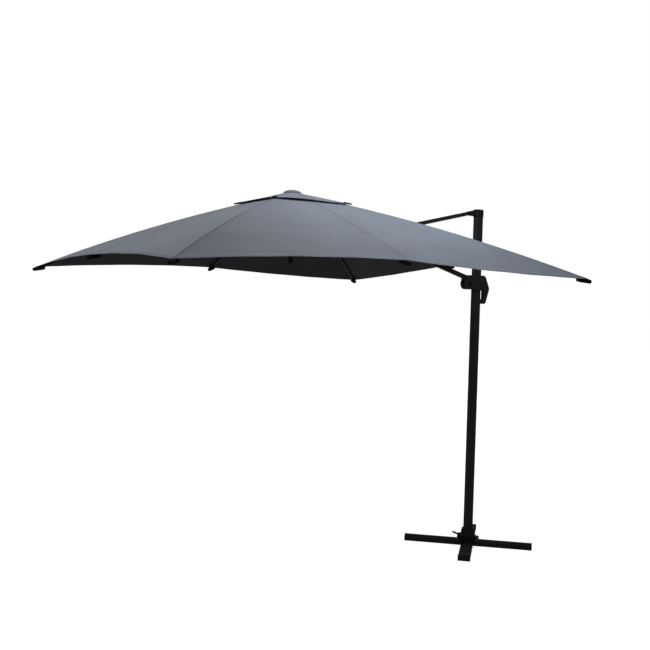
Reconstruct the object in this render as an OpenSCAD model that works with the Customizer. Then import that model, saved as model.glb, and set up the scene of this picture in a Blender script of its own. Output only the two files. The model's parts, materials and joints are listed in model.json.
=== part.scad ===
// Cantilever parasol: a square canopy on eight ribs hangs from a boom, and the boom's foot
// rides on a carriage that slides on the mast, above a swivelling foot and a cross base.
// Frame: origin on the floor under the mast axis, +Z up, the boom runs along -X.
// The front is -Y. All sizes are in millimetres.

/* [Canopy] */
// Half the distance between opposite edges of the canopy
canopy_half = 1450; // [1400:10:1470]
// Distance from the mast axis to the crown axis
crown_reach = 1700; // [1680:5:1740]
// Height of the rib pivots at the crown
rib_root_z = 2680; // [2670:2:2700]
// Height of the rib ends at the middle of three sides
mid_tip_z = 2181; // [2160:2:2200]
// Height of the rib ends at the corners
corner_tip_z = 2124; // [2100:2:2150]
// Height of the end of the rib that lies over the boom
mast_tip_z = 2243; // [2236:1:2250]
// Radius of the bow that the fabric keeps in each rib
rib_bow_r = 13000; // [11000:500:20000]
// Thickness of the fabric
fabric_t = 0.8; // [0.8:0.1:1.5]
// Height of the fabric's top over a rib's centre line
fabric_rise = 17; // [16:0.5:20]
// How far the hem curves in between two rib ends
hem_scallop = 20; // [0:2:50]
// How far the hem curves up between two rib ends
hem_lift = 18; // [0:1:30]
// How far the fabric sags between two ribs
gore_sag = 8; // [0:1:20]
// Half the width of the vent cap
vent_half = 300; // [280:5:320]
// Half the width of the vent hole under the vent cap
vent_hole_half = 180; // [150:5:200]

/* [Ribs and struts] */
// Depth of a rib tube
rib_h = 20; // [18:1:20]
// Width of a rib tube
rib_w = 14; // [12:1:14]
// Wall of a rib tube
rib_wall = 1; // [0.8:0.1:1.5]
// Distance of the rib pivots from the crown axis
rib_root_r = 50; // [50:1:52]
// Where a strut meets a rib in the middle of a side, from the rib's pivot
strut_at_mid = 470; // [460:1:480]
// Where a strut meets a corner rib, from the rib's pivot
strut_at_corner = 456; // [446:1:466]
// Where the double strut meets the rib over the boom, from the rib's pivot
strut_at_mast = 476; // [466:1:486]
// Height of the runner's strut pivots
runner_z = 2262; // [2255:1:2270]
// Distance of the runner's strut pivots from the crown axis
runner_r = 45; // [44:0.5:47]
// Width of a strut
strut_w = 12; // [11:0.5:12]
// Depth of a strut
strut_h = 14; // [12:1:14]

/* [Boom and tie arm] */
// Depth of the boom tube
boom_h = 36; // [34:1:38]
// Width of the boom tube
boom_w = 26; // [24:1:26]
// Wall of the boom tube
boom_wall = 1.5; // [1.2:0.1:2.5]
// Distance of the boom's centre line below the centre line of the rib over it
boom_drop = 34; // [34:0.5:38]
// Depth of the tie arm tube
arm_h = 30; // [28:1:30]
// Width of the tie arm tube
arm_w = 20; // [18:1:20]
// Wall of the tie arm tube
arm_wall = 1.2; // [1:0.1:2]
// Slope of the tie arm, in degrees
arm_slope = 13.25; // [12.5:0.05:14]
// Length of the tie arm's fork, which straddles the boom and a rib
arm_fork_len = 262; // [255:1:280]

/* [Mast] */
// Width of the mast tube along the boom
mast_x = 70; // [68:1:72]
// Width of the mast tube across the boom
mast_y = 50; // [48:1:52]
// Radius of the mast tube's corners
mast_r = 12; // [8:1:14]
// Wall of the mast tube
mast_wall = 1.8; // [1.5:0.1:2.5]
// Height of the mast cap's top
cap_top_z = 2712; // [2708:1:2716]
// Distance of the tie arm's pivot in front of the mast axis
arm_pivot_out = 100; // [98:1:106]
// Height of the tie arm's pivot
arm_pivot_z = 2675; // [2670:1:2680]

/* [Carriage] */
// Distance of the boom's pivot in front of the mast axis
boom_pivot_out = 90; // [88:1:94]
// Height of the boom's pivot
boom_pivot_z = 2118; // [2112:1:2122]
// Width of the carriage across the boom
carriage_y = 74; // [72:1:80]
// Depth of the squeeze grip across the boom
grip_y = 30; // [26:1:34]

/* [Base] */
// Length of each bar of the cross
cross_len = 1012; // [950:2:1100]
// Width of a cross bar
bar_w = 92; // [80:2:100]
// Height of a cross bar
bar_h = 46; // [40:1:50]
// Wall of a cross bar
bar_wall = 6; // [3:0.5:8]
// Angle that the cross is turned to from the boom, in degrees
base_turn = -42; // [-50:1:-40]

/* [Hidden] */
RIBS = ["mast", "mast_back", "back", "outer_back", "outer", "outer_front", "front", "mast_front"];
$fn = 64;
SKIN = 0.3;
RUNNING = 0.05;
BOW_FN = 1440;

anthracite = "#2b2c31";
black_plastic = "#1c1c1f";
steel_black = "#202124";
zinc = "#9a9da3";
nylon = "#d9d8d2";
slate = "#6d737d";

crown_x = -crown_reach;
rib_slope_mast = atan((rib_root_z - mast_tip_z) / (canopy_half - rib_root_r));
crown_pivot_z = rib_root_z - boom_drop / cos(rib_slope_mast) + rib_root_r * tan(rib_slope_mast);
boom_pivot_x = -boom_pivot_out;
arm_pivot_x = -arm_pivot_out;
boom_slope = rib_slope_mast;
boom_dx = boom_pivot_x - crown_x;
boom_dz = crown_pivot_z - boom_pivot_z;
boom_len = boom_dx * cos(boom_slope) + boom_dz * sin(boom_slope);
boom_off = boom_dz * cos(boom_slope) - boom_dx * sin(boom_slope);
joint_x = (crown_pivot_z + crown_x * tan(boom_slope) - arm_pivot_z + arm_pivot_x * tan(arm_slope))
    / (tan(arm_slope) + tan(boom_slope));
joint_z = arm_pivot_z + (joint_x - arm_pivot_x) * tan(arm_slope);
arm_len = norm([joint_x - arm_pivot_x, joint_z - arm_pivot_z]);
cheek_in = boom_w / 2 + 0.6;
cheek_t = 3;
crown_cheek_in = 20;
crown_cheek_t = 4;
crown_fork_len = 165;
pole_r = 19;
pole_bottom_z = runner_z + 28;
hub_r = 60;
hub_bottom_z = rib_root_z - 12;
hub_top_z = rib_root_z + 12;
mast_bottom_z = 80;
mast_top_z = cap_top_z - 12;
plate_top_z = bar_h + 8;
flange_top_z = plate_top_z + 8;
collar_z = flange_top_z + 2;
collar_top_z = 135;
clamp_z = 119;
lock_r = 60;
base_bolt_r = 62;
pedal_pivot = [-84, 92];
pedal_heel = [-38, 10];
pedal_toe = [-58, 20];
pedal_lift_arm = 20;
carriage_bottom_z = boom_pivot_z - 49;
carriage_top_z = boom_pivot_z + 65;
grip_x = mast_x / 2 + 57;

function rib_tip_r(i) = i % 2 == 0 ? canopy_half : canopy_half * sqrt(2);
function rib_tip_z(i) = i == 0 ? mast_tip_z : (i % 2 == 0 ? mid_tip_z : corner_tip_z);
function rib_slope(i) = atan((rib_root_z - rib_tip_z(i)) / (rib_tip_r(i) - rib_root_r));
function rib_chord(i) = norm([rib_tip_r(i) - rib_root_r, rib_root_z - rib_tip_z(i)]);
function bow(x, chord) = sqrt(pow(rib_bow_r, 2) - pow(x - chord / 2, 2))
    - sqrt(pow(rib_bow_r, 2) - pow(chord / 2, 2));
function strut_at(i) = i == 0 ? strut_at_mast : (i % 2 == 0 ? strut_at_mid : strut_at_corner);
function strut_top(i) = let (a = strut_at(i), b = bow(a, rib_chord(i)), s = rib_slope(i))
    [rib_root_r + a * cos(s) + b * sin(s), rib_root_z - a * sin(s) + b * cos(s)];

// Height of the fabric over rib i at radius r from the crown axis
function fabric_z(i, r) = let (s = rib_slope(i), x = (r - rib_root_r) / cos(s))
    rib_root_z - (r - rib_root_r) * tan(s) + bow(x, rib_chord(i)) / cos(s) + fabric_rise;

module rounded(x, y, r) {
    square([x - 2 * r, y], center = true);
    square([x, y - 2 * r], center = true);
    for (i = [-1, 1], j = [-1, 1]) translate([i * (x / 2 - r), j * (y / 2 - r)]) circle(r);
}

module tube_2d(x, y, r, wall) {
    difference() {
        rounded(x, y, r);
        rounded(x - 2 * wall, y - 2 * wall, max(r - wall, 0.5));
    }
}

// A plug that fits inside such a tube
module plug_2d(x, y, wall) {
    rounded(x - 2 * wall - 0.3, y - 2 * wall - 0.3, 3);
}

// A round pin or bore along Y
module across(r, length) {
    rotate([90, 0, 0]) cylinder(r = r, h = length, center = true);
}

module across_from(r, y0, y1) {
    translate([0, y1, 0]) rotate([90, 0, 0]) cylinder(r = r, h = y1 - y0);
}

// A straight tube or bar along -X, from x0 to x1, with its centre line at height z
module along(x0, x1, z = 0) {
    translate([-x0, 0, z]) rotate([0, -90, 0]) linear_extrude(x1 - x0) rotate(90) children();
}

// A flat plate in the XZ plane between y0 and y1
module plate(y0, y1) {
    translate([0, y1, 0]) rotate([90, 0, 0]) linear_extrude(y1 - y0) children();
}

module in_boom() {
    translate([boom_pivot_x, 0, boom_pivot_z]) rotate([0, boom_slope, 0]) children();
}

module in_arm() {
    translate([arm_pivot_x, 0, arm_pivot_z]) rotate([0, -arm_slope, 0]) children();
}

module in_rib(i) {
    translate([crown_x, 0, 0]) rotate([0, 0, 45 * i])
        translate([rib_root_r, 0, rib_root_z]) rotate([0, rib_slope(i), 0]) children();
}

module in_base() {
    rotate([0, 0, base_turn]) children();
}

// Base

module at_base_bolts() {
    for (k = [0:3]) rotate([0, 0, 22.5 + 90 * k]) translate([base_bolt_r, 0, 0]) children();
}

module cross_bar_profile() {
    difference() {
        union() {
            translate([0, (bar_h - 6) / 2]) rounded(bar_w, bar_h - 6, 4);
            translate([0, bar_h / 2]) rounded(38, bar_h, 4);
        }
        translate([0, (bar_h - 6) / 2]) rounded(bar_w - 2 * bar_wall, bar_h - 6 - 2 * bar_wall, 1);
    }
}

module cross_bar(a, b) {
    translate([a, 0, 0]) rotate([90, 0, 90]) linear_extrude(b - a) cross_bar_profile();
}

module long_cross_bar() {
    color(steel_black) in_base() cross_bar(-cross_len / 2, cross_len / 2);
}

module half_cross_bars() {
    color(steel_black) in_base() rotate([0, 0, 90]) {
        cross_bar(-cross_len / 2, -bar_w / 2);
        cross_bar(bar_w / 2, cross_len / 2);
    }
}

module bar_end_caps() {
    cap_t = 4;
    color(black_plastic) in_base() for (k = [0:3]) rotate([0, 0, 90 * k])
        translate([cross_len / 2, 0, 0]) rotate([90, 0, 90]) linear_extrude(cap_t)
            translate([0, (bar_h + 2) / 2]) rounded(bar_w + 4, bar_h + 2, 5);
}

module centre_plate() {
    color(steel_black) difference() {
        in_base() translate([0, 0, bar_h]) linear_extrude(plate_top_z - bar_h)
            rounded(176, 176, 14);
        at_base_bolts() translate([0, 0, bar_h - 1]) cylinder(r = 5.2, h = 12);
    }
}

module base_bolts() {
    color(zinc) at_base_bolts() translate([0, 0, bar_h + 0.2])
        cylinder(r = 5, h = flange_top_z - bar_h - 0.2);
}

module swivel_spindle() {
    color(steel_black) difference() {
        union() {
            translate([0, 0, plate_top_z]) cylinder(r = 76, h = 8);
            translate([0, 0, plate_top_z]) cylinder(r = 15, h = 130);
        }
        at_base_bolts() translate([0, 0, plate_top_z - 1]) cylinder(r = 5.05, h = 10);
        translate([0, 0, plate_top_z - 1]) cylinder(r = 9, h = 132);
    }
}

module swivel_washer() {
    color(nylon) translate([0, 0, flange_top_z]) difference() {
        cylinder(r = 50, h = 2);
        translate([0, 0, -1]) cylinder(r = 17, h = 4);
    }
}

// Mast

module foot_collar() {
    color(black_plastic) difference() {
        union() {
            translate([0, 0, collar_z]) cylinder(r = 72, h = 9);
            translate([0, 0, collar_z + 9]) cylinder(r1 = 60, r2 = 50, h = collar_top_z - collar_z - 9);
            for (s = [-1, 1]) translate([-90, s * 18.3 - 4, collar_z]) cube([44, 8, 36]);
            for (s = [0, 180]) rotate([0, 0, s]) translate([40, -11, clamp_z - 12]) cube([20, 22, 24]);
        }
        translate([0, 0, collar_z - 1]) cylinder(r = 15.6, h = 40);
        translate([0, 0, mast_bottom_z]) linear_extrude(80) rounded(mast_x + 0.4, mast_y + 0.4, mast_r);
        translate([-lock_r, 0, collar_z - 1]) cylinder(r = 5.3, h = 60);
        translate([-90, -14, collar_z + 9]) cube([46, 28, 60]);
        translate([pedal_pivot[0], 0, pedal_pivot[1]]) across(4, 60);
        for (s = [0, 180]) rotate([0, 0, s]) translate([0, 0, clamp_z]) rotate([0, 90, 0])
            cylinder(r = 4, h = 90);
    }
}

module swivel_bush() {
    color(nylon) difference() {
        translate([0, 0, mast_bottom_z + 2]) linear_extrude(100)
            rounded(mast_x - 2 * mast_wall - 0.4, mast_y - 2 * mast_wall - 0.4, mast_r - mast_wall);
        translate([0, 0, mast_bottom_z]) cylinder(r = 15 + RUNNING, h = 110);
        for (s = [0, 180]) rotate([0, 0, s]) translate([17, 0, clamp_z]) rotate([0, 90, 0])
            cylinder(r = 4, h = 40);
    }
}

module mast_tube() {
    color(anthracite) difference() {
        translate([0, 0, mast_bottom_z]) linear_extrude(mast_top_z - mast_bottom_z)
            tube_2d(mast_x, mast_y, mast_r, mast_wall);
        translate([0, 0, clamp_z]) rotate([0, 90, 0]) cylinder(r = 4, h = 100, center = true);
    }
}

module foot_clamp_screws() {
    color(steel_black) for (s = [0, 180]) rotate([0, 0, s]) translate([18, 0, clamp_z]) rotate([0, 90, 0]) {
        cylinder(r = 3.9, h = 43);
        translate([0, 0, 42]) cylinder(r = 8, h = 6);
    }
}

module mast_cap() {
    color(black_plastic) difference() {
        union() {
            translate([0, 0, cap_top_z - 57]) linear_extrude(51) rounded(mast_x + 6, mast_y + 6, mast_r + 3);
            translate([0, 0, cap_top_z - 6]) linear_extrude(6) rounded(mast_x, mast_y, mast_r);
            plate(-16, 16) hull() {
                translate([arm_pivot_x, arm_pivot_z]) circle(16, $fn = 32);
                translate([-mast_x / 2 - 2, cap_top_z - 55]) square([4, 49]);
            }
        }
        translate([0, 0, mast_bottom_z]) linear_extrude(mast_top_z - mast_bottom_z)
            rounded(mast_x + 0.2, mast_y + 0.2, mast_r);
        translate([arm_pivot_x - 30, -9.6, cap_top_z - 80]) cube([82 - mast_x / 2 + 30, 19.2, 120]);
        translate([arm_pivot_x, 0, arm_pivot_z]) across(5, 60);
        for (x = [-1, 1]) translate([x * 20, 0, cap_top_z - 28]) across(2.5, 80);
    }
}

module cap_screws() {
    color(steel_black) for (x = [-1, 1], y = [-1, 1]) translate([x * 20, 0, cap_top_z - 28]) {
        across_from(2.4, y > 0 ? 25.2 : -29, y > 0 ? 29 : -25.2);
        across_from(4.5, y > 0 ? 28.2 : -30.4, y > 0 ? 30.4 : -28.2);
    }
}

module arm_pivot_pin() {
    color(steel_black) translate([arm_pivot_x, 0, arm_pivot_z]) {
        across(4.95, 33);
        across_from(8, 16, 19);
        across_from(8, -19, -16);
    }
}

module pedal_pin() {
    color(zinc) translate([pedal_pivot[0], 0, pedal_pivot[1]]) across(3.95, 48);
}

module foot_pedal() {
    color(black_plastic) translate([pedal_pivot[0], 0, pedal_pivot[1]]) difference() {
        union() {
            plate(-13, 13) hull() {
                circle(9, $fn = 32);
                translate([-36, 8]) circle(5, $fn = 32);
            }
            plate(-24, 24) hull() {
                translate(pedal_heel) circle(5, $fn = 32);
                translate(pedal_toe) circle(5, $fn = 32);
            }
            for (s = [-1, 1]) {
                y0 = s > 0 ? 6 : -12;
                plate(y0, y0 + 6) translate([0, -4]) square([pedal_lift_arm, 8]);
                translate([pedal_lift_arm, 0, 0]) across_from(4, y0, y0 + 6);
            }
        }
        across(4 + RUNNING, 60);
    }
}

module pedal_pad() {
    run = pedal_toe - pedal_heel;
    color(black_plastic) translate([pedal_pivot[0], 0, pedal_pivot[1]]) plate(-22, 22)
        translate(pedal_heel) rotate(atan2(run[1], run[0])) translate([0, -8]) square([norm(run), 3]);
}

// A friction lock: the pin's foot presses on the spindle's flange
module swivel_lock_pin() {
    head_z = pedal_pivot[1] + 4.4;
    color(zinc) translate([-lock_r, 0, 0]) {
        translate([0, 0, flange_top_z + 0.5]) cylinder(r = 5, h = head_z - flange_top_z - 0.5);
        translate([0, 0, head_z]) cylinder(r = 9, h = 3);
    }
}

// Carriage

module carriage_outline() {
    hull() {
        translate([boom_pivot_x, boom_pivot_z - 7]) circle(42, $fn = 48);
        translate([boom_pivot_x - 6, carriage_top_z - 25]) circle(25, $fn = 32);
        translate([48, carriage_top_z - 14]) circle(14, $fn = 32);
        translate([52, carriage_bottom_z + 10]) circle(10, $fn = 32);
    }
}

module carriage_shell(side) {
    y_out = carriage_y / 2;
    difference() {
        union() {
            plate(side > 0 ? 0 : -y_out, side > 0 ? y_out : 0) carriage_outline();
            translate([boom_pivot_x, 0, boom_pivot_z])
                across_from(27, side > 0 ? y_out - 1 : -y_out - 4, side > 0 ? y_out + 4 : 1 - y_out);
        }
        translate([0, 0, carriage_bottom_z - 20]) linear_extrude(200)
            rounded(mast_x + 3, mast_y + 3, mast_r + 1);
        translate([0, 0, carriage_bottom_z + 2.8]) linear_extrude(carriage_top_z - carriage_bottom_z - 5.6)
            rounded(mast_x + 6.4, mast_y + 6.4, mast_r + 3);
        translate([-181, -boom_w / 2 - 0.8, carriage_bottom_z - 20]) cube([139, boom_w + 1.6, 200]);
        translate([boom_pivot_x, 0, boom_pivot_z]) across(6.1, 120);
        translate([boom_pivot_x, 0, boom_pivot_z])
            across_from(15, side > 0 ? y_out - 2 : -y_out - 10, side > 0 ? y_out + 10 : 2 - y_out);
        for (p = carriage_screw_places()) translate([p[0], 0, p[1]]) {
            across(2.6, 120);
            across_from(5, side > 0 ? y_out - 4 : -y_out - 6, side > 0 ? y_out + 6 : 4 - y_out);
        }
        translate([mast_x / 2 + 8, -grip_y / 2 - 0.2, carriage_bottom_z - 20]) cube([60, grip_y + 0.4, 200]);
        translate([mast_x / 2 - 2, -13.3, boom_pivot_z - 12]) cube([14, 26.6, 36]);
    }
}

function carriage_screw_places() = [
    [boom_pivot_x - 20, carriage_top_z - 16], [52, carriage_top_z - 12],
    [-48, carriage_bottom_z + 12], [50, carriage_bottom_z + 11]];

module carriage_front_shell() {
    color(anthracite) carriage_shell(-1);
}

module carriage_back_shell() {
    color(anthracite) carriage_shell(1);
}

module carriage_bush() {
    color(nylon) difference() {
        translate([0, 0, carriage_bottom_z + 3]) linear_extrude(carriage_top_z - carriage_bottom_z - 6)
            difference() {
                rounded(mast_x + 6, mast_y + 6, mast_r + 3);
                rounded(mast_x + 2 * SKIN, mast_y + 2 * SKIN, mast_r + SKIN);
            }
        translate([mast_x / 2 - 4, -13, boom_pivot_z - 11]) cube([12, 26, 34]);
    }
}

module carriage_screws() {
    y_out = carriage_y / 2;
    color(steel_black) for (p = carriage_screw_places()) translate([p[0], 0, p[1]]) {
        for (s = [0, 180]) rotate([0, 0, s])
            across_from(2.5, p[0] < 0 ? boom_w / 2 + 1 : 0, y_out - 4.5);
        across_from(4.6, -y_out + 0.5, 4 - y_out);
        across_from(4.6, y_out - 4, y_out - 0.5);
    }
}

module boom_pivot_bolt() {
    y_out = carriage_y / 2;
    color(steel_black) translate([boom_pivot_x, 0, boom_pivot_z]) {
        across(6, 2 * y_out + 2);
        for (s = [-1, 1]) translate([0, s * (y_out + 2.5), 0]) rotate([90, 0, 0])
            cylinder(r = 13, h = 9, center = true, $fn = 6);
    }
}

module squeeze_grip() {
    y = grip_y / 2;
    color(anthracite) difference() {
        plate(-y, y) difference() {
            hull() {
                translate([mast_x / 2 + 33, carriage_top_z - 27]) circle(24, $fn = 48);
                translate([grip_x + 2, boom_pivot_z - 42]) circle(31, $fn = 48);
                translate([mast_x / 2 + 37, boom_pivot_z - 139]) circle(24, $fn = 48);
            }
            hull() {
                translate([mast_x / 2 + 20, carriage_bottom_z - 15]) circle(12, $fn = 32);
                translate([mast_x / 2 + 20, boom_pivot_z - 117]) circle(12, $fn = 32);
                translate([mast_x / 2 - 10, boom_pivot_z - 129])
                    square([4, carriage_bottom_z - boom_pivot_z + 126]);
            }
            translate([mast_x / 2 - 20, boom_pivot_z - 200]) square([28.2, 400]);
        }
        translate([mast_x / 2 + 26, -9, boom_pivot_z - 122]) cube([41, 18, 72]);
        translate([mast_x / 2 + 51, 0, boom_pivot_z - 60]) across(3, 60);
        for (p = carriage_screw_places()) translate([p[0], 0, p[1]]) across(2.6, 120);
    }
}

module grip_trigger() {
    color(black_plastic) difference() {
        plate(-8.6, 8.6) hull() {
            translate([mast_x / 2 + 51, boom_pivot_z - 60]) circle(8, $fn = 32);
            translate([mast_x / 2 + 36, boom_pivot_z - 66]) circle(7, $fn = 32);
            translate([mast_x / 2 + 35, boom_pivot_z - 111]) circle(8, $fn = 32);
            translate([mast_x / 2 + 44, boom_pivot_z - 112]) circle(6, $fn = 32);
        }
        translate([mast_x / 2 + 51, 0, boom_pivot_z - 60]) across(3, 60);
    }
    color(zinc) translate([mast_x / 2 + 51, 0, boom_pivot_z - 60]) across(2.95, 29);
}

module brake_shoe() {
    color(black_plastic) translate([mast_x / 2 + SKIN, -12, boom_pivot_z - 10]) cube([6, 24, 32]);
}

// Boom

module boom_knuckle() {
    color(black_plastic) in_boom() difference() {
        union() {
            plate(-boom_w / 2, boom_w / 2) hull() {
                circle(28, $fn = 48);
                translate([-34, boom_off]) circle(boom_h / 2, $fn = 32);
            }
            plate(-boom_w / 2, boom_w / 2) translate([-53, boom_off - boom_h / 2]) square([19, boom_h]);
            along(50, 110, boom_off) plug_2d(boom_w, boom_h, boom_wall);
        }
        across(6 + RUNNING, 60);
    }
}

module boom_tube() {
    color(anthracite) in_boom()
        along(53, boom_len - crown_fork_len - 36, boom_off) tube_2d(boom_w, boom_h, 4, boom_wall);
}

module boom_crown_fork() {
    root = boom_len - crown_fork_len;
    outer = crown_cheek_in + crown_cheek_t;
    color(black_plastic) in_boom() difference() {
        union() {
            along(root - 90, root - 36, boom_off) plug_2d(boom_w, boom_h, boom_wall);
            along(root - 36, root - 12, boom_off) rounded(boom_w, boom_h, 4);
            along(root - 14, root, boom_off) rounded(2 * outer, 30, 3);
            for (s = [-1, 1]) {
                y0 = s > 0 ? crown_cheek_in : -outer;
                plate(y0, y0 + crown_cheek_t) translate([-boom_len, boom_off - 11])
                    square([crown_fork_len + 4, 22]);
                translate([-boom_len, 0, boom_off]) across_from(11, y0, y0 + crown_cheek_t);
            }
        }
        translate([-boom_len, 0, boom_off]) across(5 + RUNNING, 80);
    }
}

// Tie arm

module arm_end_eye() {
    color(black_plastic) in_arm() difference() {
        union() {
            across(14, 18);
            plate(-9, 9) translate([-32, -11]) square([32, 22]);
            along(30, 80) plug_2d(arm_w, arm_h, arm_wall);
        }
        across(5 + RUNNING, 60);
    }
}

module arm_tube() {
    color(anthracite) in_arm() along(32, arm_len - arm_fork_len - 14) tube_2d(arm_w, arm_h, 4, arm_wall);
}

module arm_fork() {
    root = arm_len - arm_fork_len;
    outer = cheek_in + cheek_t;
    color(black_plastic) in_arm() difference() {
        union() {
            along(root - 60, root - 14) plug_2d(arm_w, arm_h, arm_wall);
            along(root - 14, root) rounded(2 * outer, arm_h, 3);
            for (s = [-1, 1]) {
                y0 = s > 0 ? cheek_in : -outer;
                plate(y0, y0 + cheek_t) translate([-arm_len, -13]) square([arm_fork_len + 2, 26]);
                translate([-arm_len, 0, 0]) across_from(13, y0, y0 + cheek_t);
            }
        }
        translate([-arm_len, 0, 0]) across(5, 60);
    }
}

module arm_pivot_bolts() {
    outer = cheek_in + cheek_t;
    color(steel_black) in_arm() translate([-arm_len, 0, 0]) for (s = [0, 180]) rotate([0, 0, s]) {
        across_from(4.95, cheek_in, outer);
        across_from(8, outer, outer + 3);
    }
}

// Crown

module crown_hub() {
    color(black_plastic) translate([crown_x, 0, 0]) difference() {
        translate([0, 0, hub_bottom_z]) cylinder(r = hub_r, h = hub_top_z - hub_bottom_z);
        for (i = [0:7]) rotate([0, 0, 45 * i]) {
            translate([38, -5.5, hub_bottom_z - 1]) cube([40, 11, 30]);
            translate([rib_root_r, 0, rib_root_z]) across(3.05, 25);
        }
        for (s = [0, 180]) rotate([0, 0, s]) translate([-20, crown_cheek_in - 1, hub_bottom_z - 1])
            cube([40, crown_cheek_t + 2, 6]);
    }
}

module rib_pivot_pins() {
    color(zinc) translate([crown_x, 0, rib_root_z]) for (i = [0:7]) rotate([0, 0, 45 * i])
        translate([rib_root_r, 0, 0]) across(3, 24);
}

module crown_pivot_bolt() {
    outer = crown_cheek_in + crown_cheek_t;
    color(steel_black) translate([crown_x, 0, crown_pivot_z]) {
        across(5, 2 * outer + 2);
        across_from(8, outer + 0.4, outer + 5);
        across_from(8, -outer - 5, -outer - 0.4);
    }
}

module crown_cap() {
    color(black_plastic) translate([crown_x, 0, hub_top_z]) rotate_extrude() polygon(concat(
        [[0, 0], [48, 0]],
        [for (a = [0:10:80]) [8 + 40 * cos(a), 2 + 28 * sin(a)]],
        [[0, 30]]));
}

module centre_pole() {
    color(anthracite) translate([crown_x, 0, 0]) difference() {
        translate([0, 0, pole_bottom_z]) cylinder(r = pole_r, h = hub_bottom_z - pole_bottom_z);
        translate([0, 0, pole_bottom_z - 1]) cylinder(r = pole_r - 2, h = hub_bottom_z - pole_bottom_z + 2);
        translate([0, 0, crown_pivot_z]) across(5.1, 60);
    }
}

// Fabric: rings of points over half gores, from the vent hole or the crown to the hem

GORE_STEPS = 4;
RING_STEPS = 12;

function ring_point(i, j, s, half, z_of) = let (
    t = j / GORE_STEPS,
    a0 = 45 * i,
    a1 = 45 * (i + 1),
    r0 = s * half * (i % 2 == 0 ? 1 : sqrt(2)),
    r1 = s * half * (i % 2 == 0 ? sqrt(2) : 1),
    z0 = z_of == "canopy" ? fabric_z(i, r0) : vent_z(i, r0),
    z1 = z_of == "canopy" ? fabric_z((i + 1) % 8, r1) : vent_z((i + 1) % 8, r1),
    p0 = [r0 * cos(a0), r0 * sin(a0)],
    p1 = [r1 * cos(a1), r1 * sin(a1)],
    pull = 1 - hem_scallop / canopy_half * 4 * t * (1 - t) * pow(s, 3))
    concat(pull * ((1 - t) * p0 + t * p1),
        [(1 - t) * z0 + t * z1 + 4 * t * (1 - t) * (hem_lift * pow(s, 4) - gore_sag * s)]);

// Height of the vent cap over rib i at radius r: a domed crown, then a slope that suits the rib
function vent_z(i, r) = hub_top_z + 37 - 26 * pow(min(1, r / 62), 2)
    - vent_slope(i) * max(0, r - 62);
function vent_slope(i) = i == 0 ? 0.25 : (i % 2 == 0 ? 0.28 : 0.2);

function sheet_points(s0, half, z_of) = [
    for (k = [0:RING_STEPS], i = [0:7], j = [0:GORE_STEPS - 1])
        ring_point(i, j, s0 + (1 - s0) * k / RING_STEPS, half, z_of)];

module sheet(s0, half, z_of) {
    n = 8 * GORE_STEPS;
    top = sheet_points(s0, half, z_of);
    m = len(top);
    points = concat(top, [for (p = top) p - [0, 0, fabric_t]]);
    skin = [for (k = [0:RING_STEPS - 1], a = [0:n - 1]) let (b = (a + 1) % n)
        [k * n + a, k * n + b, (k + 1) * n + b, (k + 1) * n + a]];
    tri = [for (q = skin) each [[q[0], q[2], q[1]], [q[0], q[3], q[2]]]];
    rims = [for (k = [0, RING_STEPS], a = [0:n - 1]) let (b = (a + 1) % n, u = k * n + a, v = k * n + b)
        each (k == 0 ? [[u, v, v + m], [u, v + m, u + m]] : [[u, v + m, v], [u, u + m, v + m]])];
    faces = concat(tri, [for (t = tri) [t[2] + m, t[1] + m, t[0] + m]], rims);
    translate([crown_x, 0, 0]) polyhedron(points, faces);
}

module canopy_fabric() {
    slit_x = joint_x + 60;
    color(slate) difference() {
        sheet(vent_hole_half / canopy_half, canopy_half, "canopy");
        for (s = [-1, 1]) translate([slit_x, s * (cheek_in + cheek_t / 2) - 3.4, joint_z - 120])
            cube([170, 6.8, 240]);
    }
}

module vent_cap_fabric() {
    color(slate) sheet(0.01, vent_half, "vent");
}

// Runner

module runner() {
    color(black_plastic) translate([crown_x, 0, 0]) difference() {
        union() {
            translate([0, 0, runner_z - 12]) cylinder(r = runner_r + 9, h = 24);
            translate([0, 0, runner_z + 12]) cylinder(r = 24, h = 15.5);
        }
        for (i = [1:7]) rotate([0, 0, 45 * i])
            translate([runner_r - 9, -strut_w / 2 - 0.5, runner_z - 20]) cube([40, strut_w + 1, 40]);
        for (s = [-1, 1]) translate([runner_r - 11, s * 22 - 1.9, runner_z - 20]) cube([40, 3.8, 40]);
    }
}

module runner_knob() {
    profile = concat(
        [[0, 0], [17, 0], [17, 30]],
        [for (a = [0:15:75]) [4 + 13 * cos(a), 30 + 18 * sin(a)]],
        [[0, 48]]);
    color(black_plastic) translate([crown_x, 0, runner_z - 12]) rotate([180, 0, 0])
        rotate_extrude() polygon(profile);
}

// Ribs and struts

// A tube or bar along a rib's bow, from x0 to x1 of its chord
module bowed(chord, x0, x1) {
    a0 = asin((x0 - chord / 2) / rib_bow_r);
    a1 = asin((x1 - chord / 2) / rib_bow_r);
    translate([chord / 2, 0, -sqrt(pow(rib_bow_r, 2) - pow(chord / 2, 2))])
        rotate([90, 0, 0]) rotate([0, 0, 90 - a1])
            rotate_extrude(angle = a1 - a0, $fn = BOW_FN) translate([rib_bow_r, 0]) children();
}

module rib_plug() {
    square([rib_h - 2 * rib_wall - 0.2, rib_w - 2 * rib_wall - 0.2], center = true);
}

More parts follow.
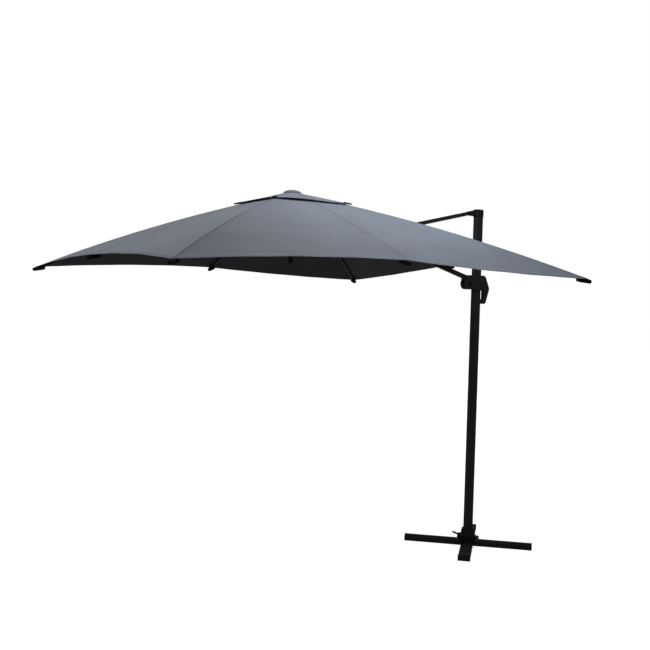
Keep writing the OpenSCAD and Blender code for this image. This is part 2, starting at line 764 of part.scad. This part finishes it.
module rib(i) {
    chord = rib_chord(i);
    color(anthracite) in_rib(i) {
        difference() {
            bowed(chord, 22, chord - 10) difference() {
                square([rib_h, rib_w], center = true);
                square([rib_h - 2 * rib_wall, rib_w - 2 * rib_wall], center = true);
            }
            translate([strut_at(i), 0, bow(strut_at(i), chord)]) across(i == 0 ? 4.05 : 3.05, 60);
        }
        difference() {
            union() {
                across(8, 10);
                plate(-5, 5) translate([0, -7]) square([23, 14]);
                bowed(chord, 22, 60) rib_plug();
            }
            across(3 + RUNNING, 40);
        }
    }
    color(black_plastic) in_rib(i) {
        bowed(chord, chord - 50, chord - 10) rib_plug();
        bowed(chord, chord - 10, chord + 8) square([rib_h + 2, rib_w + 3], center = true);
    }
}

module strut(i) {
    top = strut_top(i);
    run = [runner_r - top[0], runner_z - top[1]];
    length = norm(run);
    color(anthracite) translate([crown_x, 0, 0]) rotate([0, 0, 45 * i]) translate([top[0], 0, top[1]])
        rotate([0, atan2(run[1], -run[0]), 0])
            if (i == 0) double_strut(length); else single_strut(length);
}

module single_strut(length) {
    inner = rib_w / 2 + 0.6;
    for (s = [-1, 1]) {
        y0 = s > 0 ? inner : -inner - 2.2;
        plate(y0, y0 + 2.2) translate([-62, -strut_h / 2]) square([62, strut_h]);
        across_from(strut_h / 2, y0, y0 + 2.2);
    }
    along(52, 62) square([2 * inner + 4.4, strut_h], center = true);
    along(60, length - 10) tube_2d(strut_w, strut_h, 2, 1.2);
    along(length - 40, length) square([strut_w - 2.4, strut_h - 2.4], center = true);
    translate([-length, 0, 0]) across(7, strut_w);
    across(3, 2 * inner + 7);
}

module double_strut(length) {
    for (s = [-1, 1]) {
        y0 = s > 0 ? 20.8 : -23.2;
        plate(y0, y0 + 2.4) translate([-length, -strut_h / 2]) square([length, strut_h]);
        across_from(strut_h / 2, y0, y0 + 2.4);
        translate([-length, 0, 0]) across_from(strut_h / 2, y0, y0 + 2.4);
    }
    across(4, 50);
}

long_cross_bar();
half_cross_bars();
bar_end_caps();
centre_plate();
base_bolts();
swivel_spindle();
swivel_washer();
foot_collar();
swivel_bush();
mast_tube();
foot_clamp_screws();
mast_cap();
cap_screws();
arm_pivot_pin();
pedal_pin();
foot_pedal();
pedal_pad();
swivel_lock_pin();
carriage_front_shell();
carriage_back_shell();
carriage_bush();
carriage_screws();
boom_pivot_bolt();
squeeze_grip();
grip_trigger();
brake_shoe();
boom_knuckle();
boom_tube();
boom_crown_fork();
arm_end_eye();
arm_tube();
arm_fork();
arm_pivot_bolts();
crown_hub();
crown_pivot_bolt();
rib_pivot_pins();
crown_cap();
centre_pole();
canopy_fabric();
vent_cap_fabric();
runner();
runner_knob();
for (i = [0:7]) rib(i);
for (i = [0:7]) strut(i);
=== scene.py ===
# A cantilever parasol: the canopy's cloth is made here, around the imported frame, and every
# frame part gets the finish that the real one has. Metres, +Z up, the boom runs along -X.
import json
import math

import bpy
import numpy as np
from mathutils import Matrix, Vector


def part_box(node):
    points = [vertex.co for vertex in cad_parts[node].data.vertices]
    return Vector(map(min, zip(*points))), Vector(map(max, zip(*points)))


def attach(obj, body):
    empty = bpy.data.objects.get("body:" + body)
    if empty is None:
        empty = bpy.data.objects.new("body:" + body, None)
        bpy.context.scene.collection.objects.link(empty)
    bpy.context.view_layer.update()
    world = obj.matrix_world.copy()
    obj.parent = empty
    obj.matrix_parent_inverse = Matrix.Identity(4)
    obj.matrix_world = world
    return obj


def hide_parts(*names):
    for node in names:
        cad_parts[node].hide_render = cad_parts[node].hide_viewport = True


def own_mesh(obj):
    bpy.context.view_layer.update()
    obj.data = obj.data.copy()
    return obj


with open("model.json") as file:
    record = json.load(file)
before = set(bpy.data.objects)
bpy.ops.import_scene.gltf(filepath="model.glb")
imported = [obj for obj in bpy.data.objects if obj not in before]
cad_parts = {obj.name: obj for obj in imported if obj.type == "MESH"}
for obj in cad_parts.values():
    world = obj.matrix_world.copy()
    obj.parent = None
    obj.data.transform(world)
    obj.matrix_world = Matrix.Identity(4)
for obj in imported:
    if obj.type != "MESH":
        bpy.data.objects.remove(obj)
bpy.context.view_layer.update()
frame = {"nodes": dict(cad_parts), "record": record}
nodes = frame["nodes"]
RIBS = ["mast", "mast_back", "back", "outer_back", "outer", "outer_front", "front", "mast_front"]


# Camera, light and floor

CAMERA_PLACE = (-4.820, -5.853, 1.967)
CAMERA_TURN = (-30.30, -1.67, -1.65)    # yaw, pitch and roll in degrees
LENS_MM = 51.35


def add_camera():
    yaw, pitch, roll = (math.radians(a) for a in CAMERA_TURN)
    turn = (Matrix.Rotation(yaw, 3, "Z") @ Matrix.Rotation(pitch, 3, "X")
        @ Matrix.Rotation(roll, 3, "Y"))
    right, ahead, up = turn.col
    data = bpy.data.cameras.new("camera")
    data.sensor_width = 36
    data.lens = LENS_MM
    data.clip_end = 100
    camera = bpy.data.objects.new("camera", data)
    camera.matrix_world = Matrix.Translation(CAMERA_PLACE) @ Matrix((
        right, up, -ahead)).transposed().to_4x4()
    bpy.context.scene.collection.objects.link(camera)
    bpy.context.scene.camera = camera


def add_area_light(name, place, aim, size, power):
    data = bpy.data.lights.new(name, "AREA")
    data.size = size
    data.energy = power
    light = bpy.data.objects.new(name, data)
    light.location = place
    light.rotation_euler = (aim - light.location).to_track_quat("-Z", "Y").to_euler()
    bpy.context.scene.collection.objects.link(light)


# Colours and nodes

def colour(code):
    """sRGB hex to a linear RGBA tuple"""
    parts = [int(code[i:i + 2], 16) / 255 for i in (1, 3, 5)]
    return tuple(p / 12.92 if p <= 0.04045 else ((p + 0.055) / 1.055) ** 2.4 for p in parts) + (1,)


def add(tree, kind, inputs=None, **settings):
    """A node with its settings, and its sockets set or linked by name or number"""
    node = tree.nodes.new(kind)
    for name, value in settings.items():
        setattr(node, name, value)
    for socket, value in (inputs or {}).items():
        if isinstance(value, bpy.types.NodeSocket):
            tree.links.new(value, node.inputs[socket])
        else:
            node.inputs[socket].default_value = value
    return node


def start_material(name, **sockets):
    """A named material with its principled shader's constant sockets set"""
    material = bpy.data.materials.new(name)
    material.use_nodes = True
    tree = material.node_tree
    shader = tree.nodes["Principled BSDF"]
    for socket, value in sockets.items():
        shader.inputs[socket.replace("_", " ")].default_value = value
    place = add(tree, "ShaderNodeTexCoord").outputs["Object"]
    return material, tree, shader, place


def noise(tree, place, size_mm, detail=3.0, roughness=0.55):
    """Soft noise whose blotches are about size_mm across"""
    return add(tree, "ShaderNodeTexNoise", {
        "Vector": place, "Scale": 1000 / size_mm, "Detail": detail,
        "Roughness": roughness}).outputs["Fac"]


def blend_colours(tree, share, low, high, start=0.35, stop=0.65):
    ramp = add(tree, "ShaderNodeValToRGB", {"Fac": share})
    ramp.color_ramp.elements[0].position = start
    ramp.color_ramp.elements[1].position = stop
    ramp.color_ramp.elements[0].color = colour(low)
    ramp.color_ramp.elements[1].color = colour(high)
    return ramp.outputs["Color"]


def set_roughness(tree, shader, share, low, high):
    spread = add(tree, "ShaderNodeMapRange", {"Value": share, "To Min": low, "To Max": high})
    tree.links.new(spread.outputs["Result"], shader.inputs["Roughness"])


def wave(tree, place, spacing_mm, direction, **sockets):
    """Parallel ridges spacing_mm apart"""
    return add(tree, "ShaderNodeTexWave", {
        "Vector": place, "Scale": 1000 / (spacing_mm * 2 * math.pi), **sockets},
        bands_direction=direction).outputs["Fac"]


def set_bump(tree, shader, height, depth_mm, strength=1.0):
    bump = add(tree, "ShaderNodeBump", {
        "Height": height, "Distance": depth_mm / 1000, "Strength": strength})
    tree.links.new(bump.outputs["Normal"], shader.inputs["Normal"])


# Finishes

SATIN = 0.2     # black finishes mirror less than clear plastic does


def powder_coat(name, low, high, roughness):
    """Baked polyester powder on metal: a slight orange peel a few millimetres across, and an
    even satin"""
    material, tree, shader, place = start_material(name, IOR=1.5, Specular_IOR_Level=SATIN)
    shade = blend_colours(tree, noise(tree, place, 180), low, high)
    tree.links.new(shade, shader.inputs["Base Color"])
    set_roughness(tree, shader, noise(tree, place, 45), roughness - 0.05, roughness + 0.07)
    set_bump(tree, shader, noise(tree, place, 2.5, detail=2.0), 0.12, 0.6)
    return material


def powder_coated_aluminium():
    # dark anthracite extrusions, satin, so that they keep a soft highlight along their corners
    return powder_coat("powder_coated_aluminium", "#17181c", "#1e1f24", 0.42)


def powder_coated_steel():
    # near-black base bars, a little rougher, with a trace of dust in the blotches
    return powder_coat("powder_coated_steel", "#0a0a0b", "#111112", 0.5)


def moulded_nylon(name, low, high, roughness):
    """Glass-filled nylon from a spark-eroded mould: a fine even grain and a dull sheen"""
    material, tree, shader, place = start_material(name, IOR=1.53, Specular_IOR_Level=SATIN)
    shade = blend_colours(tree, noise(tree, place, 60), low, high)
    tree.links.new(shade, shader.inputs["Base Color"])
    set_roughness(tree, shader, noise(tree, place, 20), roughness - 0.06, roughness + 0.06)
    set_bump(tree, shader, noise(tree, place, 0.9, detail=2.0), 0.06, 0.7)
    return material


def black_nylon():
    # hubs, forks and caps: black, with the mould's grain
    return moulded_nylon("black_moulded_nylon", "#0b0b0c", "#121213", 0.55)


def anthracite_nylon():
    # carriage and grip: coloured to match the mast, a touch smoother where hands rub
    return moulded_nylon("anthracite_moulded_nylon", "#15151a", "#1c1c22", 0.45)


def natural_nylon():
    # bushes: uncoloured nylon, ivory and slightly see-through
    material, tree, shader, place = start_material("natural_nylon", IOR=1.53, Subsurface_Weight=0.1)
    shade = blend_colours(tree, noise(tree, place, 40), "#cfccc0", "#dedbd0")
    tree.links.new(shade, shader.inputs["Base Color"])
    set_roughness(tree, shader, noise(tree, place, 15), 0.35, 0.5)
    return material


def zinc_plated_steel():
    # bolts and pins: bright grey zinc with faint iridescent blotches
    material, tree, shader, place = start_material("zinc_plated_steel", Metallic=1.0)
    shade = blend_colours(tree, noise(tree, place, 8), "#9b9da3", "#b7b6b0")
    tree.links.new(shade, shader.inputs["Base Color"])
    set_roughness(tree, shader, noise(tree, place, 4), 0.28, 0.42)
    set_bump(tree, shader, noise(tree, place, 0.8), 0.02, 0.5)
    return material


def black_oxide_steel():
    # the boom's bolt and the spindle: oiled black oxide, dark and dull
    material, tree, shader, place = start_material("black_oxide_steel", Metallic=1.0)
    shade = blend_colours(tree, noise(tree, place, 12), "#1f1f21", "#2b2b2d")
    tree.links.new(shade, shader.inputs["Base Color"])
    set_roughness(tree, shader, noise(tree, place, 6), 0.4, 0.55)
    return material


def ribbed_rubber():
    # pedal pad and brake shoe: soft black rubber with ribs 4 mm apart across the pad
    material, tree, shader, place = start_material("black_rubber", IOR=1.52)
    shade = blend_colours(tree, noise(tree, place, 10), "#0c0c0d", "#131314")
    tree.links.new(shade, shader.inputs["Base Color"])
    set_roughness(tree, shader, noise(tree, place, 8), 0.7, 0.85)
    set_bump(tree, shader, wave(tree, place, 4, "X"), 0.6)
    return material


def woven_polyester():
    """Solution-dyed polyester canvas: a plain weave, drawn 5 mm coarse where the real thread is
    0.5 mm so that it shows, fine sewn lines, and an underside painted near black as shade"""
    material, tree, shader, place = start_material(
        "slate_woven_polyester", IOR=1.45, Sheen_Weight=0.15, Sheen_Roughness=0.5, Roughness=0.85,
        Specular_IOR_Level=SATIN)
    dyed = blend_colours(tree, noise(tree, place, 350, detail=4.0), "#505762", "#5a616d", 0.3, 0.7)
    # darker sewn lines along the seams and the hem; on the vent cap the hem's dark line is also
    # painted shade for the shaded gap beneath the cap's edge
    sewn = add(tree, "ShaderNodeMix", {
        "Factor": add(tree, "ShaderNodeAttribute", attribute_name="stitch_and_gap_shade").outputs["Fac"],
        "A": dyed, "B": colour("#3b3f48")}, data_type="RGBA")
    # painted shade: the cloth's underside gets a near-black colour for the shade it lies in; the
    # real cloth is the same colour on both sides
    underside_shade_colour = blend_colours(tree, noise(tree, place, 120), "#131314", "#1a1a1b")
    shade = add(tree, "ShaderNodeMix", {
        "Factor": add(tree, "ShaderNodeAttribute", attribute_name="painted_underside_shade").outputs["Fac"],
        "A": sewn.outputs["Result"], "B": underside_shade_colour}, data_type="RGBA")
    tree.links.new(shade.outputs["Result"], shader.inputs["Base Color"])
    weave = [wave(tree, place, 5, way, Distortion=0.4, Detail=1.0) for way in ("X", "Y")]
    crossed = add(tree, "ShaderNodeMath", {0: weave[0], 1: weave[1]}, operation="MULTIPLY")
    slub = add(tree, "ShaderNodeMath", {
        0: crossed.outputs[0], 1: noise(tree, place, 60, detail=2.0)}, operation="ADD")
    set_bump(tree, shader, slub.outputs[0], 0.3, 0.6)
    return material


# Canopy cloth. It follows the ribs: heights over a rib's line come from the rib's own arc.

HALF = 1.450
CROWN_X = -1.700
ROOT_R = 0.050
ROOT_Z = 2.680
BOW_R = 13.0
TIP_Z = {"mast": 2.243, "side": 2.181, "corner": 2.124}
RISE = 0.017
HEM_SCALLOP = 0.020
HEM_LIFT = {True: 0.026, False: -0.002}     # away from the mast's three ribs, and beside them
GORE_SAG = 0.008
CLOTH = 0.0008
SEAM_HALF = 0.007
HEM_BAND = 0.022
ARM_SLIT = [0.012, 0.019]       # from the seam to either edge of the slit for a cheek of the fork
SLIT_START = 0.073              # from the fork's outer end to the slit's
SLIT_LENGTH = 0.170
VENT_HOLE = 0.180
VENT_HALF = 0.300
VENT_TOP = 2.729
VENT_SLOPE = {"mast": 0.25, "side": 0.28, "corner": 0.20}
VENT_START = 0.050
DOME_R = 0.062
DOME_RISE = 0.026
HEM_FOLD = 0.0008               # how much thicker the folded hem is
STITCH_DEPTH = 0.0008           # how far the thread pulls the underside away
RIPPLE = 0.0012
SEAM_RISE = 0.0007
VENT_SEAM_RISE = 0.0005


def rib_line(i):
    """(tip radius, slope's tangent, chord) of rib i"""
    kind = "mast" if i == 0 else ("side" if i % 2 == 0 else "corner")
    tip = HALF * (1 if i % 2 == 0 else math.sqrt(2))
    fall = ROOT_Z - TIP_Z[kind]
    return tip, fall / (tip - ROOT_R), math.hypot(tip - ROOT_R, fall)


def canopy_height(i, r):
    tip, slope, chord = rib_line(i % 8)
    cos = 1 / math.hypot(1, slope)
    x = (r - ROOT_R) / cos
    bow = math.sqrt(BOW_R ** 2 - (x - chord / 2) ** 2) - math.sqrt(BOW_R ** 2 - (chord / 2) ** 2)
    return ROOT_Z - (r - ROOT_R) * slope + bow / cos + RISE


def vent_height(i, r):
    slope = VENT_SLOPE["mast" if i % 8 == 0 else ("side" if i % 2 == 0 else "corner")]
    return VENT_TOP - DOME_RISE * min(1, r / DOME_R) ** 2 - slope * max(0, r - DOME_R)


def corner(i, s, half):
    """Where rib line i is at share s of the way to the hem: radius and place in plan"""
    r = s * half * (1 if i % 2 == 0 else math.sqrt(2))
    a = math.radians(45 * i)
    return r, np.array([math.cos(a), math.sin(a)]) * r


def cloth_point(i, side, t, s, half, height, waves):
    """A point of the cloth at share t from rib i towards its neighbour, and share s to the hem"""
    r0, p0 = corner(i, s, half)
    r1, p1 = corner(i + side, s, half)
    arch = 4 * t * (1 - t)
    size = half / HALF
    plan = (p0 * (1 - t) + p1 * t) * (1 - HEM_SCALLOP / HALF * arch * s ** 3)
    z = height(i, r0) * (1 - t) + height(i + side, r1) * t
    away = {i % 8, (i + side) % 8}.isdisjoint({0, 1, 7})
    z += arch * (HEM_LIFT[away] * s ** 4 - GORE_SAG * s) * size
    ripple = math.sin(17 * plan[0] + 1.3) * math.sin(13 * plan[1] + 0.7)
    z += waves * arch * s * ripple
    return np.array([CROWN_X + plan[0], plan[1], z])


def ring_shares(start, half, steps):
    """Shares to the hem: even rings, then close ones across the folded hem"""
    hem = [half - d for d in (HEM_BAND + 0.002, HEM_BAND, 0.001, 0.0)]
    inner = np.linspace(start, hem[0], steps)[:-1]
    return [r / half for r in list(inner) + hem]


def column_places(i, side, s, half, steps):
    """Shares from the rib line to the gore's middle: close columns over the seam, then even ones"""
    width = half * s
    seam = [0.0, SEAM_HALF - 0.001, SEAM_HALF + 0.0005]
    if i == 0 and half == HALF:
        seam += ARM_SLIT
    seam = [min(d / width, 0.45) for d in seam]
    return seam + list(np.linspace(seam[-1], 0.5, steps)[1:])


def kite(name, i, start, half, height, rings, columns, waves, seam_rise, slit=None):
    """The cloth of one rib: from the middle of one gore, over the rib, to the middle of the next"""
    shares = ring_shares(start, half, rings)
    top, stitch_and_gap_shade = [], []
    for k, s in enumerate(shares):
        hemmed = k >= len(shares) - 3
        left = column_places(i, -1, s, half, columns)
        right = column_places(i, 1, s, half, columns)
        row = [(-1, t, j) for j, t in reversed(list(enumerate(left)))] + [
            (1, t, j) for j, t in enumerate(right)][1:]
        for side, t, j in row:
            point = cloth_point(i, side, t, s, half, height, waves)
            raised = (seam_rise if j < 2 else 0.0) + (HEM_FOLD if hemmed else 0.0)
            top.append(point + [0, 0, raised])
            # seam and hem rows are real stitch lines; on the vent cap the hem row is also painted
            # shade for the gap beneath its edge
            stitch_and_gap_shade.append(1.0 if j == 1 or (hemmed and k == len(shares) - 3) else 0.0)
    across = len(top) // len(shares)
    top = np.array(top)
    under = top - [0, 0, CLOTH]
    under[:, 2] -= [STITCH_DEPTH * share for share in stitch_and_gap_shade]
    total = len(top)
    faces = []
    for k in range(len(shares) - 1):
        for j in range(across - 1):
            a = k * across + j
            b, c, d = a + 1, a + across + 1, a + across
            if slit and slit(top[[a, b, c, d]].mean(0)):
                continue
            faces.append((a, d, c, b))
            faces.append((a + total, b + total, c + total, d + total))
    points = [tuple(p) for p in np.vstack([top, under])]
    faces += rim_faces(faces, total)
    return finish_cloth(name, points, faces, stitch_and_gap_shade + stitch_and_gap_shade)


def rim_faces(faces, total):
    """Side walls along every open edge of the cloth's upper layer"""
    count = {}
    for face in faces:
        if max(face) < total:
            for a, b in zip(face, face[1:] + face[:1]):
                count[(a, b)] = 1
    return [(b, a, a + total, b + total) for a, b in count if (b, a) not in count]


def finish_cloth(name, points, faces, stitch_and_gap_shade):
    mesh = bpy.data.meshes.new(name)
    mesh.from_pydata(points, [], faces)
    mesh.attributes.new("stitch_and_gap_shade", "FLOAT", "POINT").data.foreach_set("value", stitch_and_gap_shade)
    layer = len(points) // 2
    # marks the lower layer, which the cloth's material paints near black as shade
    mesh.attributes.new("painted_underside_shade", "FLOAT", "POINT").data.foreach_set(
        "value", [0.0] * layer + [1.0] * layer)
    obj = bpy.data.objects.new(name, mesh)
    bpy.context.scene.collection.objects.link(obj)
    bpy.ops.object.select_all(action="DESELECT")
    obj.select_set(True)
    bpy.context.view_layer.objects.active = obj
    bpy.ops.object.shade_smooth_by_angle(angle=math.radians(40))
    return obj


FORK_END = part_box("arm_fork")[0][0]


def in_arm_slit(middle):
    """Whether a face of the cloth lies where one of the tie arm fork's two cheeks passes through"""
    along = middle[0] - FORK_END - SLIT_START
    return ARM_SLIT[0] < abs(middle[1]) < ARM_SLIT[1] and 0 < along < SLIT_LENGTH


def add_canopy(material):
    for i, name in enumerate(RIBS):
        piece = kite(f"canopy_cloth_{name}", i, VENT_HOLE, HALF, canopy_height, 44, 16, RIPPLE,
            SEAM_RISE, slit=None if i else in_arm_slit)
        dress(piece, name, material, "canopy_fabric")


def add_vent_cap(material):
    for i, name in enumerate(RIBS):
        piece = kite(f"vent_cloth_{name}", i, VENT_START, VENT_HALF, vent_height, 14, 8, 0.0,
            VENT_SEAM_RISE)
        dress(piece, name, material, "vent_cap_fabric")


def dress(piece, name, material, node):
    """The cloth's finish, the rib it rides on, and the frame part it stands in for, which is hidden
    """
    piece.data.materials.append(material)
    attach(piece, f"rib_{name}")
    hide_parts(node)
    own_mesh(piece)


# Black webbing pockets: each holds the end of a rib in the hem, or of a batten in the vent cap

def webbing():
    """Polyester webbing: black, with 3 mm ribs across it that catch a little light"""
    material, tree, shader, place = start_material(
        "black_polyester_webbing", IOR=1.45, Specular_IOR_Level=0.1)
    shade = blend_colours(tree, noise(tree, place, 30), "#0b0b0c", "#151517")
    tree.links.new(shade, shader.inputs["Base Color"])
    set_roughness(tree, shader, noise(tree, place, 12), 0.75, 0.9)
    set_bump(tree, shader, wave(tree, place, 3, "DIAGONAL"), 0.4)
    return material


def add_pocket(name, i, length, width, height, middle, slope, material):
    """A soft-edged pocket with an open inner end, lying along rib i at its middle's place"""
    bpy.ops.object.select_all(action="DESELECT")
    bpy.ops.mesh.primitive_cube_add(size=1)
    pocket = bpy.context.active_object
    pocket.name = name
    bpy.ops.object.mode_set(mode="EDIT")
    bpy.ops.mesh.select_all(action="SELECT")
    bpy.ops.transform.resize(value=(length, width, height))
    bpy.ops.mesh.select_all(action="DESELECT")
    bpy.ops.object.mode_set(mode="OBJECT")
    for face in pocket.data.polygons:
        face.select = face.normal.x > 0.9
    bpy.ops.object.mode_set(mode="EDIT")
    bpy.ops.transform.resize(value=(1, 0.72, 0.6), center_override=(length / 2, 0, height / 4))
    bpy.ops.mesh.select_all(action="SELECT")
    bpy.ops.mesh.bevel(offset=min(width, height) * 0.28, segments=4, affect="EDGES")
    bpy.ops.object.mode_set(mode="OBJECT")
    for face in pocket.data.polygons:
        face.select = face.normal.x < -0.9
    bpy.ops.object.mode_set(mode="EDIT")
    bpy.ops.mesh.inset(thickness=0.003)
    bpy.ops.mesh.extrude_region_move(TRANSFORM_OT_translate={"value": (length * 0.2, 0, 0)})
    bpy.ops.object.mode_set(mode="OBJECT")
    pocket.data.transform(Matrix.Translation((CROWN_X, 0, 0)) @ Matrix.Rotation(
        math.radians(45 * i), 4, "Z") @ Matrix.Translation(middle) @ Matrix.Rotation(
        math.atan(slope), 4, "Y"))
    bpy.ops.object.shade_smooth_by_angle(angle=math.radians(40))
    pocket.data.materials.append(material)
    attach(pocket, f"rib_{RIBS[i]}")


def add_pockets(material):
    for i, name in enumerate(RIBS):
        tip, slope, _ = rib_line(i)
        add_pocket(f"hem_pocket_{name}", i, 0.084, 0.040, 0.040,
            (tip - 0.037, 0, canopy_height(i, tip - 0.037) - 0.0215), slope, material)
        if i % 2:
            r = VENT_HALF * math.sqrt(2) - 0.020
            add_pocket(f"vent_pocket_{name}", i, 0.050, 0.026, 0.014,
                (r, 0, vent_height(i, r) - 0.0010), 0.2, material)


def add_apex_patch(material):
    """The round doubled patch of cloth that is sewn over the crown's cap"""
    bpy.ops.object.select_all(action="DESELECT")
    bpy.ops.mesh.primitive_uv_sphere_add(segments=48, ring_count=24, radius=0.066)
    patch = bpy.context.active_object
    patch.name = "apex_patch"
    bpy.ops.object.mode_set(mode="EDIT")
    bpy.ops.mesh.select_all(action="SELECT")
    bpy.ops.mesh.bisect(plane_co=(0, 0, 0.001), plane_no=(0, 0, 1), clear_inner=True)
    bpy.ops.mesh.select_all(action="SELECT")
    bpy.ops.transform.resize(value=(1, 1, 0.38), center_override=(0, 0, 0))
    bpy.ops.object.mode_set(mode="OBJECT")
    patch.data.transform(Matrix.Translation((CROWN_X, 0, 2.7035)))
    wall = patch.modifiers.new("doubled_cloth", "SOLIDIFY")
    wall.thickness = 0.0016
    bpy.ops.object.modifier_apply(modifier=wall.name)
    bpy.ops.object.shade_smooth_by_angle(angle=math.radians(40))
    patch.data.materials.append(material)
    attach(patch, "crown")


# Finishes for the frame's parts

FINISHES = {
    "black_powder_coated_steel": powder_coated_steel,
    "anthracite_powder_coated_aluminium": powder_coated_aluminium,
    "black_nylon": black_nylon,
    "anthracite_moulding": anthracite_nylon,
    "zinc_plated_steel": zinc_plated_steel,
    "black_oxide_steel": black_oxide_steel,
    "natural_nylon": natural_nylon,
    "black_rubber": ribbed_rubber,
}


def finish_frame():
    finishes = {slot: make() for slot, make in FINISHES.items()}
    for part in frame["record"]["subparts"]:
        material = finishes.get(part["material_slot"])
        if material is None:
            continue
        mesh = nodes[part["node"]].data
        mesh.materials.clear()
        mesh.materials.append(material)


AMBIENT = 0.25          # the backdrop's strength as light, where the camera sees 1
FLOOR_GLOW = 0.85


def add_floor():
    bpy.ops.object.select_all(action="DESELECT")
    bpy.ops.mesh.primitive_plane_add(size=60, location=(0, 0, 0))
    floor = bpy.context.active_object
    floor.name = "floor"
    material, tree, shader, place = start_material(
        "pale_floor", Roughness=0.9, Emission_Color=(1, 1, 1, 1), Emission_Strength=FLOOR_GLOW)
    shade = blend_colours(tree, noise(tree, place, 2000), "#f4f4f4", "#f8f8f8")
    tree.links.new(shade, shader.inputs["Base Color"])
    floor.data.materials.append(material)
    floor.visible_diffuse = floor.visible_glossy = False


def add_world():
    """A white backdrop whose own light on the object is soft and weaker"""
    world = bpy.data.worlds.new("studio")
    world.use_nodes = True
    tree = world.node_tree
    seen = add(tree, "ShaderNodeLightPath").outputs["Is Camera Ray"]
    strength = add(tree, "ShaderNodeMapRange", {"Value": seen, "To Min": AMBIENT, "To Max": 1.0})
    background = tree.nodes["Background"]
    background.inputs["Color"].default_value = (1, 1, 1, 1)
    tree.links.new(strength.outputs["Result"], background.inputs["Strength"])
    bpy.context.scene.world = world
    bpy.context.scene.view_settings.view_transform = "Standard"


add_camera()
add_world()
add_floor()
add_area_light("key_light", (-1.1, -1.0, 4.0), Vector((-1.6, -0.6, 2.5)), 1.1, 52)
add_area_light("side_light", (-6.2, 0.6, 4.2), Vector((-2.6, 0, 2.3)), 2.0, 105)
add_area_light("front_light", (-4.0, -5.0, 3.4), Vector((0, 0, 1.8)), 3.0, 12)
finish_frame()
cloth = woven_polyester()
add_canopy(cloth)
add_vent_cap(cloth)
add_pockets(webbing())
add_apex_patch(cloth)
